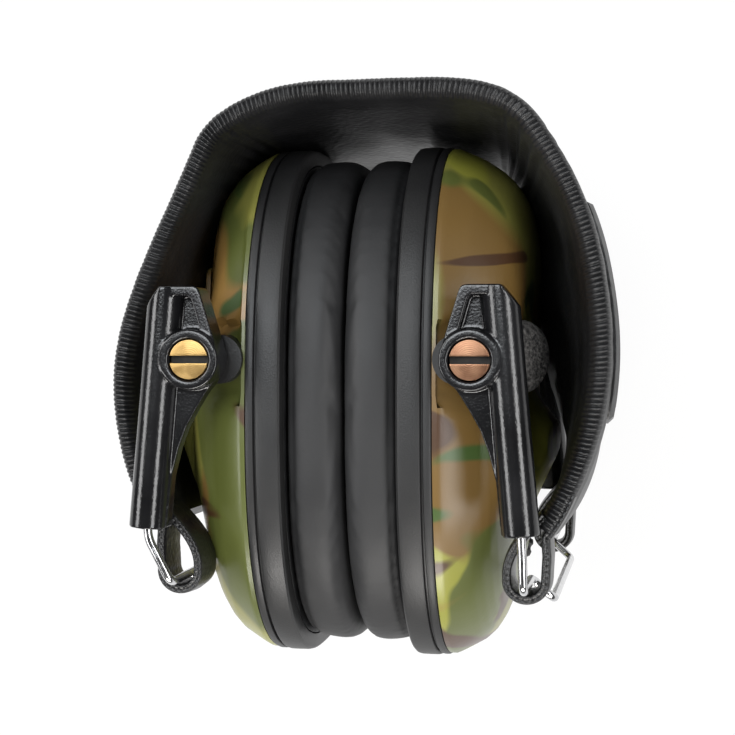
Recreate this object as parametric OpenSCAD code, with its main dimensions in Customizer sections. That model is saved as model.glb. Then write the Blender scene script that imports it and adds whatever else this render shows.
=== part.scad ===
// Folding electronic earmuff, stored folded and lying on its back.
// +X is the wearer's side, +Y is the top of the headband, +Z is up, towards the front arms.
// Both halves are built as the right-hand one. The left-hand one is its mirror image.

/* [Headband] */
// Height of the crown's centreline above the origin
crown_y = 51.3; // [50:0.1:54]
// Width of the padded band, from front edge to rear edge
band_w = 78; // [64:1:79]
// Thickness of the padded sleeve
band_t = 4.6; // [4:0.1:5]
// Distance from the middle plane to each shoulder, where the band flexes
shoulder_x = 28.5; // [27:0.5:30]
// Height of the shoulders above the origin
shoulder_y = 43.8; // [42:0.1:45]
// Length of sleeve that each flexing shoulder piece takes the place of, each side of its axis
shoulder_half = 3; // [3:0.1:4]
// Thickness of the spring strip inside the sleeve
spring_t = 1; // [0.8:0.1:1.2]
// Width of the spring strip
spring_w = 50; // [40:1:54]
// Thickness of the raised pad on the outside of each side
side_pad_t = 1.2; // [0.8:0.1:1.6]
// Width of the raised side pad
side_pad_w = 66; // [50:1:72]

/* [Strap loops and wire yokes] */
// Distance from the middle plane to each fold axis
fold_x = 31.3; // [31:0.1:33]
// Height of the fold axes above the origin
fold_y = -34.9; // [-36:0.1:-34]
// Width of each of the two strap tabs that end in a loop
strap_w = 10; // [8:0.5:11]
// Distance from the middle plane to the middle of each tab
strap_z = 33.5; // [33:0.1:34]
// Thickness of the strap
strap_t = 2; // [1.6:0.1:2.4]
// Inside radius of the strap loop
eye_r = 2.4; // [2:0.1:3]
// Radius of the steel wire
wire_r = 0.8; // [0.7:0.05:1]
// Play between the wire and the strap loop it hangs in
eye_play = 0.3; // [0.2:0.05:0.5]
// Length of each wire leg inside its arm
leg_l = 34; // [20:1:38]
// Reach of the wire's crossbar beyond the fold axis
crossbar_out = 5.4; // [5:0.1:6]

/* [Arms] */
// Distance from the middle plane of the cups to each pivot axis
pivot_u = 24.7; // [24:0.1:26]
// Height of the pivots above the origin
pivot_y = 4.7; // [3:0.1:7]
// Lean of the arm tubes, outward at the bottom
arm_lean = 5; // [3:0.5:8]
// Radius of the tube that the wire leg slides in
tube_r = 3.2; // [2.8:0.1:3.4]
// Distance from the pivot axis to the tube's axis at pivot height
tube_off = 5.9; // [5.8:0.1:6.6]
// Length of the tube below the pivot
tube_down = 30; // [26:0.1:32]
// Length of the tube above the pivot
tube_up = 12.9; // [11:0.1:14]
// Radius of the boss around the pivot screw
boss_r = 5.1; // [4.6:0.1:5.6]
// Running clearance of the pivot shank and of the wire leg
run_fit = 0.05; // [0.02:0.01:0.1]
// Gap between an arm and the cup's pivot bracket
arm_gap = 0.3; // [0.2:0.1:0.5]

/* [Pivot screws] */
// Radius of the screw head
head_r = 3.5; // [3:0.1:3.6]
// Thickness of the screw head
head_t = 1.6; // [1.2:0.1:1.8]
// Depth of the head below the arm's ring
head_sink = 0.3; // [0.1:0.1:0.6]
// Radius of the screw shank
shank_r = 1.95; // [1.5:0.05:2.2]
// Width of the screwdriver slot
slot_w = 1.2; // [0.8:0.1:1.4]

/* [Cups] */
// Sideways place of the plane where the two cushions meet
cup_mid_x = -2.3; // [-2.5:0.1:0]
// Height of the middle of the cups above the origin
cup_y = -3.8; // [-4.5:0.1:-3]
// Height of a cup
cup_h = 99.5; // [92:0.5:100]
// Depth of a cup, from front to rear
cup_d = 76; // [68:0.5:76]
// Thickness of a cushion, from the meeting plane to the base ring
cushion_t = 10.4; // [9:0.1:11]
// Thickness of the base ring
ring_t = 6.6; // [6:0.1:7]
// Height of the outer shell above the base ring at its ridge
shell_t = 17.4; // [17:0.1:17.6]
// Wall of the outer shell
shell_wall = 2.2; // [1.8:0.1:2.6]
// Wall of the base ring
ring_wall = 3; // [2.5:0.1:3.5]
// Thickness of the floor of the base ring
floor_t = 2; // [1.6:0.1:2.4]
// Gap between the two cushions where they meet
cushion_gap = 0.4; // [0.2:0.1:1]
// Width of the cushion's roll around the ear opening
roll_w = 14; // [12:0.5:17]

/* [Electronics] */
// Radius of the loudspeaker
speaker_r = 15; // [12:0.5:16]
// Thickness of the loudspeaker
speaker_t = 4; // [3.5:0.1:4.2]
// Radius of the microphone windscreen
mic_r = 6.4; // [5:0.1:6.6]
// Radius of the volume knob
knob_r = 5.2; // [5:0.1:6]
// Radius of an AAA cell
cell_r = 5.2; // [5.1:0.05:5.25]
// Length of an AAA cell
cell_l = 44; // [43:0.5:44.5]
// Radius of the headphone plug that the audio socket takes
plug_r = 1.75; // [1.75:0.01:1.8]

/* [Hidden] */
$fn = 48;
eps = 0.01;
part_gap = 0.1;

// Every level is counted from the middle plane, and the rear arms' faces lie at Z = 0.
arm_face = cup_d / 2 + 8.5;
arm_back = cup_d / 2 + 1.6 + arm_gap;
bracket_face = arm_back - arm_gap;
tube_z = arm_face - tube_r;

// Levels through a cup, counted outward from the plane where the cushions meet.
ring_u = cushion_t;
shell_u = ring_u + ring_t;
ridge_u = shell_u + shell_t;
roof_u = shell_u + 0.75 * shell_t;
// The floor of the base ring, which carries the loudspeaker.
floor_u = shell_u - 2 - floor_t;
back_u = floor_u + floor_t;

function bezier(p, t) =
  pow(1 - t, 3) * p[0] + 3 * t * pow(1 - t, 2) * p[1] + 3 * t * t * (1 - t) * p[2] + pow(t, 3) * p[3];
function bezier_dir(p, t) =
  let (d = pow(1 - t, 2) * (p[1] - p[0]) + 2 * t * (1 - t) * (p[2] - p[1]) + t * t * (p[3] - p[2]))
  d / norm(d);
function beside(p, t, off) =
  let (d = bezier_dir(p, t)) bezier(p, t) + off * [-d[1], d[0]];

// The band's centreline: half of the crown, then one side from its shoulder to the strap loop.
shoulder = [shoulder_x, shoulder_y];
side_turn = [9, -15.6];
crown_line = [[0, crown_y], [12, crown_y], shoulder - side_turn * 0.44, shoulder];
side_end = [fold_x + 3.4, fold_y + 8.7];
side_line = [shoulder, shoulder + side_turn, [shoulder_x + 21.5, -6.7], side_end];
steps = 28;
// Shares of the curves at which the pieces of the sleeve start and stop.
crown_cut = 1 - shoulder_half / 24;
side_cut = shoulder_half / 58;

// A strip of the band between two shares of a curve, from offset a to offset b.
module strip(line, t0, t1, a, b, w) {
  ts = [for (i = [0:steps]) t0 + (t1 - t0) * i / steps];
  translate([0, 0, -w / 2])
    linear_extrude(height = w)
      polygon(concat([for (t = ts) beside(line, t, a)],
                     [for (i = [steps:-1:0]) beside(line, ts[i], b)]));
}

module front_and_rear() {
  children();
  mirror([0, 0, 1]) children();
}

module both_sides() {
  children();
  mirror([1, 0, 0]) children();
}

// Puts the middle plane at its height over the rest face.
module lift() {
  translate([0, 0, arm_face]) children();
}

module on_right() {
  lift() children();
}

module on_left() {
  lift() mirror([1, 0, 0]) children();
}

// In a cup's own frame X is counted outward from the plane where the cushions meet.
module cup_right() {
  lift() translate([cup_mid_x, 0, 0]) children();
}

module cup_left() {
  lift() translate([cup_mid_x, 0, 0]) mirror([1, 0, 0]) children();
}

// ---- headband ----

spring_room = spring_t / 2 + part_gap;

module sleeve_strip(line, t0, t1) {
  difference() {
    strip(line, t0, t1, -band_t / 2, band_t / 2, band_w);
    strip(line, t0 - 0.05, t1 + 0.05, -spring_room, spring_room, spring_w + 2 * part_gap);
  }
}

module sleeve_crown() {
  color("#17181a") lift() both_sides() sleeve_strip(crown_line, 0, crown_cut);
}

module sleeve_side() {
  color("#17181a") difference() {
    sleeve_strip(side_line, side_cut, 1);
    strap_end(part_gap);
  }
}

module sleeve_left() {
  on_left() sleeve_side();
}

module sleeve_right() {
  on_right() sleeve_side();
}

// The short stretch of sleeve that creases where the band flexes.
module shoulder_piece() {
  fold_gap = 0.006;
  color("#141517") difference() {
    union() {
      strip(crown_line, crown_cut + fold_gap, 1, -band_t / 2, band_t / 2, band_w);
      strip(side_line, 0, side_cut - fold_gap, -band_t / 2, band_t / 2, band_w);
    }
    strip(crown_line, crown_cut - 0.05, 1, -spring_room, spring_room, spring_w + 2 * part_gap);
    strip(side_line, 0, side_cut + 0.05, -spring_room, spring_room, spring_w + 2 * part_gap);
  }
}

module shoulder_left() {
  on_left() shoulder_piece();
}

module shoulder_right() {
  on_right() shoulder_piece();
}

module spring_crown() {
  color("#8b9096") lift() both_sides()
    strip(crown_line, 0, crown_cut + 0.06, -spring_t / 2, spring_t / 2, spring_w);
}

module spring_side() {
  color("#8b9096")
    strip(side_line, side_cut * 0.4, 0.93, -spring_t / 2, spring_t / 2, spring_w);
}

module spring_left() {
  on_left() spring_side();
}

module spring_right() {
  on_right() spring_side();
}

module side_pad() {
  color("#1d1e20")
    strip(side_line, 0.22, 0.72, band_t / 2, band_t / 2 + side_pad_t, side_pad_w);
}

module side_pad_left() {
  on_left() side_pad();
}

module side_pad_right() {
  on_right() side_pad();
}

// ---- strap loops and wire yokes ----

// The loop hangs so that the wire bears on the lower side of its eye.
eye_centre = [fold_x, fold_y + eye_r - wire_r - eye_play];
loop_r = eye_r + strap_t;

// The strap's end where it is sewn into the sleeve, grown by a clearance.
module strap_end(grow) {
  front_and_rear() translate([0, 0, strap_z])
    strip(side_line, 0.9, 1.02, -strap_t / 2 - grow, strap_t / 2 + grow, strap_w + 2 * grow);
}

module strap_loop() {
  end = beside(side_line, 1.02, 0);
  out_dir = bezier_dir(side_line, 1);
  half_t = strap_t / 2 * [-out_dir[1], out_dir[0]];
  color("#101113") {
    strap_end(0);
    front_and_rear() translate([0, 0, strap_z - strap_w / 2]) difference() {
      union() {
        translate(eye_centre) cylinder(r = loop_r, h = strap_w);
        linear_extrude(height = strap_w)
          polygon([end + half_t, end - half_t, eye_centre + [eye_r, 0], eye_centre + [loop_r, 0]]);
      }
      translate([eye_centre[0], eye_centre[1], -1]) cylinder(r = eye_r, h = strap_w + 2);
    }
  }
}

module strap_loop_left() {
  on_left() strap_loop();
}

module strap_loop_right() {
  on_right() strap_loop();
}

// The tube's lower end in the frame of a right-hand cup, and its direction towards the top.
tube_foot = [pivot_u + tube_off + tube_down * sin(arm_lean), pivot_y - tube_down * cos(arm_lean)];
tube_dir = [-sin(arm_lean), cos(arm_lean)];

module rod(a, b, r) {
  d = b - a;
  translate(a)
    rotate([0, acos(d[2] / norm(d)), atan2(d[1], d[0])])
      cylinder(r = r, h = norm(d));
}

// A round elbow, a little fuller than the wire, where two runs meet.
module elbow(at) {
  translate(at) sphere(r = wire_r * 1.06);
}

// The yoke comes down out of one arm, in through a strap loop, out to its crossbar behind
// the loops, and the same way back to the other arm. foot_x is where the arm's tube ends.
module wire_yoke(foot_x) {
  foot = [foot_x, tube_foot[1]];
  leg_top = foot + tube_dir * leg_l;
  knee = foot - tube_dir * 1.6;
  bar = [fold_x, fold_y] + crossbar_out * [cos(42), -sin(42)];
  bar_z = strap_z - strap_w / 2 - 2.2;
  color("#c9ccd0") {
    for (s = [-1, 1]) {
      rod([leg_top[0], leg_top[1], s * tube_z], [knee[0], knee[1], s * tube_z], wire_r);
      elbow([knee[0], knee[1], s * tube_z]);
      rod([knee[0], knee[1], s * tube_z], [fold_x, fold_y, s * tube_z], wire_r);
      elbow([fold_x, fold_y, s * tube_z]);
      rod([fold_x, fold_y, s * tube_z], [fold_x, fold_y, s * bar_z], wire_r);
      elbow([fold_x, fold_y, s * bar_z]);
      rod([fold_x, fold_y, s * bar_z], [bar[0], bar[1], s * bar_z], wire_r);
      elbow([bar[0], bar[1], s * bar_z]);
    }
    rod([bar[0], bar[1], -bar_z], [bar[0], bar[1], bar_z], wire_r);
  }
}

module wire_yoke_left() {
  on_left() wire_yoke(tube_foot[0] - cup_mid_x);
}

module wire_yoke_right() {
  on_right() wire_yoke(tube_foot[0] + cup_mid_x);
}

// ---- arms ----

web_face = arm_face - 3.2;
rib_face = arm_face - 1.6;
rib_w = 1;
arm_top = pivot_y + tube_up;
tube_at_top = [pivot_u + tube_off - tube_up * sin(arm_lean), arm_top];
top_left = [pivot_u - 1.4, arm_top];
web_low = tube_foot + tube_dir * 1.2;

// Outline of the web between the boss, the flat top and the tube.
module web_outline(inset) {
  polygon([
    [pivot_u - boss_r + inset, pivot_y - 0.6],
    [pivot_u - boss_r + inset, pivot_y + 2.4],
    top_left + [inset, -inset],
    tube_at_top - [0, inset],
    tube_foot,
    web_low - [tube_r - inset, 0],
    [pivot_u + 1.6 + inset, pivot_y - 13.5],
    [pivot_u - 3.2 + inset, pivot_y - 4.6]
  ]);
}

module arm_front() {
  color("#0b0b0c") difference() {
    union() {
      translate([0, 0, arm_back])
        linear_extrude(height = web_face - arm_back) web_outline(0);
      translate([0, 0, arm_back])
        linear_extrude(height = rib_face - arm_back)
          difference() {
            web_outline(0);
            web_outline(rib_w);
          }
      rod([tube_foot[0], tube_foot[1], tube_z],
          [tube_foot[0] + tube_dir[0] * (tube_down + tube_up),
           tube_foot[1] + tube_dir[1] * (tube_down + tube_up), tube_z], tube_r);
      translate([pivot_u, pivot_y, arm_back]) cylinder(r = boss_r, h = arm_face - arm_back);
    }
    // Bore and sunk seat of the pivot screw.
    translate([pivot_u, pivot_y, arm_back - 1])
      cylinder(r = shank_r + run_fit, h = arm_face - arm_back + 2);
    translate([pivot_u, pivot_y, arm_face - head_sink - head_t - part_gap])
      cylinder(r = head_r + part_gap, h = head_t + head_sink + 1);
    // Blind bore that the wire leg slides in.
    rod([tube_foot[0] - tube_dir[0], tube_foot[1] - tube_dir[1], tube_z],
        [tube_foot[0] + tube_dir[0] * (leg_l + 1),
         tube_foot[1] + tube_dir[1] * (leg_l + 1), tube_z], wire_r + run_fit);
  }
}

module arm_rear() {
  mirror([0, 0, 1]) arm_front();
}

module arm_front_left() {
  cup_left() arm_front();
}

module arm_rear_left() {
  cup_left() arm_rear();
}

module arm_front_right() {
  cup_right() arm_front();
}

module arm_rear_right() {
  cup_right() arm_rear();
}

// ---- pivots ----

shank_l = arm_face - head_sink - head_t - bracket_face + 5;

module pivot_screws() {
  color("#a07a45") front_and_rear()
    translate([pivot_u, pivot_y, 0]) difference() {
      union() {
        translate([0, 0, arm_face - head_sink - head_t]) cylinder(r = head_r, h = head_t);
        translate([0, 0, arm_face - head_sink - head_t - shank_l])
          cylinder(r = shank_r, h = shank_l);
      }
      translate([-head_r - 1, -slot_w / 2, arm_face - head_sink - 0.8])
        cube([2 * head_r + 2, slot_w, 2]);
    }
}

bracket_w = 11;
bracket_h = 12.4;
bracket_low = cup_d / 2 - 8.4;

module bracket_block(grow) {
  translate([pivot_u - bracket_w / 2 - grow, pivot_y - bracket_h / 2 - grow, bracket_low - grow])
    cube([bracket_w + 2 * grow, bracket_h + 2 * grow, bracket_face - 0.6 - bracket_low + grow]);
}

module pivot_brackets() {
  color("#121315") front_and_rear() difference() {
    union() {
      bracket_block(0);
      translate([pivot_u, pivot_y, bracket_face - 1]) cylinder(r = boss_r - 0.4, h = 1);
    }
    translate([pivot_u, pivot_y, bracket_low - 1])
      cylinder(r = shank_r + run_fit, h = bracket_face - bracket_low + 2);
  }
}

// ---- cup housings ----

// A rounded oval of height h and depth d, centred on a cup, lying across the X axis.
module oval(h, d) {
  power = 2.5;
  polygon([for (i = [0:71]) let (a = i * 5, c = cos(a), s = sin(a))
    [d / 2 * sign(c) * pow(abs(c), 2 / power), h / 2 * sign(s) * pow(abs(s), 2 / power)]]);
}

module slab(u, t, h, d, y) {
  translate([u, y, 0]) rotate([0, 90, 0])
    linear_extrude(height = t) oval(h, d);
}

// The outer shell's solid: a domed body, and the deeper lower half that ends in a ridge.
module shell_body(in) {
  hull() {
    slab(shell_u - (in > 0 ? 1 : 0), 1, cup_h - 0.6 - 2 * in, cup_d - 0.6 - 2 * in, cup_y);
    slab(shell_u + 0.5 * shell_t - in, 0.1, 0.87 * cup_h - 2 * in, 0.86 * cup_d - 2 * in, cup_y - 0.3);
    slab(shell_u + 0.66 * shell_t - in, 0.1, 0.62 * cup_h - 2 * in, 0.76 * cup_d - 2 * in, cup_y + 3.2);
    slab(roof_u - 0.1 - in, 0.1, 0.46 * cup_h - 2 * in, 0.66 * cup_d - 2 * in, cup_y + 2);
  }
  hull() {
    slab(shell_u + 0.3 * shell_t, 0.1, 0.52 * cup_h - 2 * in, 0.88 * cup_d - 2 * in, cup_y - 10);
    slab(roof_u - in, 0.1, 0.24 * cup_h - 2 * in, 0.7 * cup_d - 2 * in, cup_y - 9.5);
    slab(ridge_u - 0.1 - in, 0.1, 0.07 * cup_h, 0.5 * cup_d, cup_y - 7.8);
  }
}

module cup_shell() {
  difference() {
    shell_body(0);
    shell_body(shell_wall);
    front_and_rear() bracket_block(part_gap);
  }
}

// Where the microphone sits, on the outer side towards the front.
mic_at = [roof_u - 0.6, pivot_y + 0.4, 0.31 * cup_d];
mic_tilt = 50;

module at_mic() {
  translate(mic_at) rotate([0, mic_tilt, 0]) children();
}

module mic_seat() {
  at_mic() translate([0, 0, -5.5]) cylinder(r = mic_r + part_gap, h = 14);
}

module cup_shell_right_body() {
  color("#6b7034") difference() {
    cup_shell();
    mic_seat();
    at_knob() translate([0, 0, -8]) cylinder(r = 2.2, h = 16);
    at_socket() translate([0, 0, -10]) cylinder(r = socket_r + part_gap, h = 16);
  }
}

module cup_shell_left_body() {
  color("#6b7034") difference() {
    cup_shell();
    mic_seat();
    battery_door_opening();
  }
}

module cup_shell_left() {
  cup_left() cup_shell_left_body();
}

module cup_shell_right() {
  cup_right() cup_shell_right_body();
}

case_screw_r = 1.2;
case_screw_l = 7;
case_screw_places = [
  for (s = [-1, 1], v = [-1, 1]) [cup_y + v * 0.34 * cup_h, s * 0.3 * cup_d]
];

module base_ring() {
  inside_h = cup_h - 2 * ring_wall;
  inside_d = cup_d - 2 * ring_wall;
  color("#1c1d1f") difference() {
    slab(ring_u, ring_t, cup_h, cup_d, cup_y);
    slab(ring_u - 1, floor_u - ring_u + 1, inside_h, inside_d, cup_y);
    slab(back_u, shell_u - back_u + 1, inside_h, inside_d, cup_y);
    translate([floor_u - 1, cup_y, 0]) rotate([0, 90, 0])
      cylinder(r = speaker_r - 3, h = floor_t + 2);
    for (p = case_screw_places) translate([floor_u - 1, p[0], p[1]])
      rotate([0, 90, 0]) cylinder(r = case_screw_r + run_fit, h = floor_t + 2);
  }
}

module base_ring_left() {
  cup_left() base_ring();
}

module base_ring_right() {
  cup_right() base_ring();
}

plate_t = 1.5;
plate_room = 0.25;

// The stiff plate that clips the cushion into the base ring.
module cushion_plate() {
  color("#202224") difference() {
    slab(ring_u, plate_t, cup_h - 2 * ring_wall - 2 * plate_room,
         cup_d - 2 * ring_wall - 2 * plate_room, cup_y);
    slab(ring_u - 1, plate_t + 2, cup_h - 2 * roll_w - 4, cup_d - 2 * roll_w - 4, cup_y);
  }
}

module cushion_plate_left() {
  cup_left() cushion_plate();
}

module cushion_plate_right() {
  cup_right() cushion_plate();
}

// The soft ring: a rounded roll around the ear opening.
module cushion() {
  face = cushion_gap / 2;
  back = ring_u - part_gap;
  color("#232427") difference() {
    hull() {
      slab(face, 0.1, cup_h - 14, cup_d - 13, cup_y);
      slab(face + 3.4, back - face - 4.4, cup_h - 5, cup_d - 5, cup_y);
      slab(back - 0.1, 0.1, cup_h - 7, cup_d - 7, cup_y);
    }
    slab(face - 1, back - face + 2, cup_h - 2 * roll_w, cup_d - 2 * roll_w, cup_y);
  }
}

module cushion_left() {
  cup_left() cushion();
}

module cushion_right() {
  cup_right() cushion();
}

foam_t = 3;

module ear_foam() {
  color("#2b2c2e")
    slab(floor_u - foam_t, foam_t - part_gap, cup_h - 2 * roll_w - 5,
         cup_d - 2 * roll_w - 5, cup_y);
}

module ear_foam_left() {
  cup_left() ear_foam();
}

module ear_foam_right() {
  cup_right() ear_foam();
}

// ---- screws that join shell and base ring ----

module case_screws() {
  color("#9a9da1") for (p = case_screw_places)
    translate([floor_u, p[0], p[1]]) rotate([0, 90, 0])
      cylinder(r = case_screw_r, h = case_screw_l);
}

module case_screws_left() {
  cup_left() case_screws();
}

module case_screws_right() {
  cup_right() case_screws();
}

// ---- electronics ----

module speaker() {
  color("#303338") translate([back_u, cup_y, 0]) rotate([0, 90, 0]) {
    cylinder(r = speaker_r, h = speaker_t * 0.5);
    cylinder(r = speaker_r * 0.55, h = speaker_t);
  }
}

module speaker_left() {
  cup_left() speaker();
}

module speaker_right() {
  cup_right() speaker();
}

module mic_windscreen() {
  color("#2a2b2d") at_mic() translate([0, 0, -3]) cylinder(r = mic_r, h = 5);
}

module mic_windscreen_left() {
  cup_left() mic_windscreen();
}

module mic_windscreen_right() {
  cup_right() mic_windscreen();
}

module mic_capsule() {
  color("#b8bcc0") at_mic() translate([0, 0, -5.2]) cylinder(r = 3, h = 2.1);
}

module mic_capsule_left() {
  cup_left() mic_capsule();
}

module mic_capsule_right() {
  cup_right() mic_capsule();
}

board_t = 1.6;
board_u = back_u + speaker_t + 0.3;

module circuit_board() {
  color("#2d6a3a") cup_right()
    translate([board_u, cup_y - 17, -15]) cube([board_t, 34, 30]);
}

// Knob and socket stand on the shell's lower rear side.
knob_at = [shell_u + 4.2, cup_y - 0.31 * cup_h, -0.37 * cup_d];
knob_turn = [22, 150, 0];
knob_t = 4.2;
socket_at = [shell_u + 5.2, cup_y - 0.4 * cup_h, -0.27 * cup_d];
socket_turn = [40, 170, 0];
socket_r = 3.2;
socket_l = 13;

module at_knob() {
  translate(knob_at) rotate(knob_turn) children();
}

module at_socket() {
  translate(socket_at) rotate(socket_turn) children();
}

module volume_knob() {
  color("#161718") cup_right() at_knob() {
    translate([0, 0, 3]) difference() {
      cylinder(r = knob_r, h = knob_t);
      for (i = [0:11]) rotate([0, 0, i * 30]) translate([knob_r + 0.4, 0, -1])
        cylinder(r = 0.9, h = knob_t + 2);
    }
    translate([0, 0, -6]) cylinder(r = 2, h = 9.5);
  }
}

module audio_socket() {
  color("#26282b") cup_right() at_socket() difference() {
    translate([0, 0, 1.2 - socket_l]) cylinder(r = socket_r, h = socket_l);
    translate([0, 0, 2.4 - socket_l]) cylinder(r = plug_r, h = socket_l);
  }
}

// ---- battery bay, in the left cup ----

door_w = 30;
door_h = 20;
door_t = 1.4;
door_low = cup_y + 6.4;
door_lap = 2;

// The bay's opening in the shell's roof, under the sliding door.
module battery_door_opening() {
  translate([roof_u - shell_wall - 2, door_low + door_lap, -door_w / 2 + door_lap])
    cube([shell_wall + 3, door_h - 2 * door_lap, door_w - 2 * door_lap]);
}

module battery_door() {
  color("#5a5f30") cup_left()
    translate([roof_u + part_gap, door_low, -door_w / 2]) cube([door_t, door_h, door_w]);
}

// The cells lie either side of the loudspeaker's magnet.
cell_u = back_u + speaker_t / 2 + 0.05 + cell_r;
cell_z = 0.55 * speaker_r + 0.3 + cell_r;
cell_y = cup_y + 2 - cell_l / 2;

module batteries() {
  color("#3b4a8a") cup_left() for (s = [-1, 1])
    translate([cell_u, cell_y, s * cell_z]) rotate([-90, 0, 0])
      cylinder(r = cell_r, h = cell_l);
}

module battery_contacts() {
  color("#d0d2d4") cup_left() for (y = [cell_y - 0.7, cell_y + cell_l + 0.2])
    translate([cell_u - 0.7 * cell_r, y, -cell_z - 0.6 * cell_r])
      cube([1.4 * cell_r, 0.5, 2 * cell_z + 1.2 * cell_r]);
}

sleeve_crown();
sleeve_left();
sleeve_right();
shoulder_left();
shoulder_right();
spring_crown();
spring_left();
spring_right();
side_pad_left();
side_pad_right();
strap_loop_left();
strap_loop_right();
wire_yoke_left();
wire_yoke_right();
arm_front_left();
arm_rear_left();
arm_front_right();
arm_rear_right();
cup_left() pivot_screws();  // pivot_screws_left
cup_right() pivot_screws();  // pivot_screws_right
cup_left() pivot_brackets();  // pivot_brackets_left
cup_right() pivot_brackets();  // pivot_brackets_right
cup_shell_left();
cup_shell_right();
base_ring_left();
base_ring_right();
cushion_left();
cushion_right();
cushion_plate_left();
cushion_plate_right();
ear_foam_left();
ear_foam_right();
speaker_left();
speaker_right();
mic_capsule_left();
mic_capsule_right();
mic_windscreen_left();
mic_windscreen_right();
circuit_board();
volume_knob();
audio_socket();
battery_door();
batteries();
battery_contacts();
case_screws_left();
case_screws_right();
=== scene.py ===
"""Folded electronic earmuff: black padded headband, camouflage cups, glossy arms and steel wires."""

import math

import bpy
import numpy as np
from mathutils import Matrix, Vector


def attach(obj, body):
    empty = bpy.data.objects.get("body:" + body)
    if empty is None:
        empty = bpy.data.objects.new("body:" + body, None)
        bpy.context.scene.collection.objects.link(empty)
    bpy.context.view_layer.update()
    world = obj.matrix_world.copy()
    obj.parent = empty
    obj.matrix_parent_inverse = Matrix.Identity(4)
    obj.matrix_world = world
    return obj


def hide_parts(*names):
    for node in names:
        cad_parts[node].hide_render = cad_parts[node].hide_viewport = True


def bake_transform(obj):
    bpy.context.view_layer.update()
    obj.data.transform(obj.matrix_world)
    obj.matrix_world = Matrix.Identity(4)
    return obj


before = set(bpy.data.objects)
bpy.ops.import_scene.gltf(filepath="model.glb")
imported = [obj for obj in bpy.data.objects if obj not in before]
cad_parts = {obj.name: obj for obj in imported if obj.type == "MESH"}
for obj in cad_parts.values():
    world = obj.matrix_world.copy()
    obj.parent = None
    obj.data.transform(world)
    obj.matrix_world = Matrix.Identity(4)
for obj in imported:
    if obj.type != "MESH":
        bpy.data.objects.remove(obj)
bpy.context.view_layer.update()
MM = 0.001

# ---- Camera ----
# Close over the folded earmuff, which lies on its back on a white table.
# A long lens draws it flat, a little from the wearer's left.
look_at = Vector((-4.05, 2.6, 46.5)) * MM
EYE_DISTANCE = 305
swing, lift_angle = math.radians(11), math.radians(1)
eye = look_at + EYE_DISTANCE * MM * Vector((
    math.sin(swing) * math.cos(lift_angle), math.sin(lift_angle),
    math.cos(swing) * math.cos(lift_angle)))
camera_data = bpy.data.cameras.new("camera")
camera_data.lens = 73.96
camera_data.sensor_width = 36
camera_data.clip_start = 0.01
camera = bpy.data.objects.new("camera", camera_data)
bpy.context.scene.collection.objects.link(camera)
back = (eye - look_at).normalized()
side = Vector((0, 1, 0)).cross(back).normalized()
camera.matrix_world = Matrix.Translation(eye) @ Matrix(
    (side, back.cross(side), back)).transposed().to_4x4()
bpy.context.scene.camera = camera
bpy.context.scene.view_settings.view_transform = "Standard"


# ---- Table and light ----
# A white table top, and soft boxes round it: a large one overhead, a tall strip on each
# side for the long streaks on the glossy arms, and a low fill from the open end.
def new_material(name):
    """A material with its nodes, its links and the shader that comes with it."""
    material = bpy.data.materials.new(name)
    material.use_nodes = True
    tree = material.node_tree
    return material, tree.nodes, tree.links, tree.nodes["Principled BSDF"]


def dial(node, **values):
    """Sets a node's values. An underscore in a name stands for a space."""
    for name, value in values.items():
        node.inputs[name.replace("_", " ")].default_value = value


bpy.ops.object.select_all(action="DESELECT")
bpy.ops.mesh.primitive_plane_add(size=3, location=(0, 0, -0.0002))
table = bpy.context.object
table.name = "table"
table_white, nodes, links, surface = new_material("table_white")
dial(surface, Base_Color=(0.86, 0.86, 0.86, 1), Roughness=0.9)
seen = nodes.new("ShaderNodeLightPath")
any_view = nodes.new("ShaderNodeMath")
any_view.operation = "ADD"
any_view.use_clamp = True
links.new(seen.outputs["Is Camera Ray"], any_view.inputs[0])
links.new(seen.outputs["Is Glossy Ray"], any_view.inputs[1])
# The table is mostly plain white to the eye, with a share left for the earmuff's shadow.
WHITE_SHARE = 0.9
share = nodes.new("ShaderNodeMath")
share.operation = "MULTIPLY"
share.inputs[1].default_value = WHITE_SHARE
links.new(any_view.outputs[0], share.inputs[0])
glow = nodes.new("ShaderNodeEmission")
dial(glow, Strength=1.0)
blend_white = nodes.new("ShaderNodeMixShader")
links.new(share.outputs[0], blend_white.inputs[0])
links.new(surface.outputs[0], blend_white.inputs[1])
links.new(glow.outputs[0], blend_white.inputs[2])
links.new(blend_white.outputs[0], nodes["Material Output"].inputs["Surface"])
table.data.materials.append(table_white)

world = bpy.data.worlds.new("room")
bpy.context.scene.world = world
world.use_nodes = True
nodes, links = world.node_tree.nodes, world.node_tree.links
room = nodes["Background"]
dial(room, Color=(1, 1, 1, 1))
seen = nodes.new("ShaderNodeLightPath")
level = nodes.new("ShaderNodeMapRange")
ROOM_LIGHT, ROOM_SEEN = 0.07, 0.92
dial(level, To_Min=ROOM_LIGHT, To_Max=ROOM_SEEN)
links.new(seen.outputs["Is Camera Ray"], level.inputs["Value"])
links.new(level.outputs[0], room.inputs["Strength"])

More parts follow.
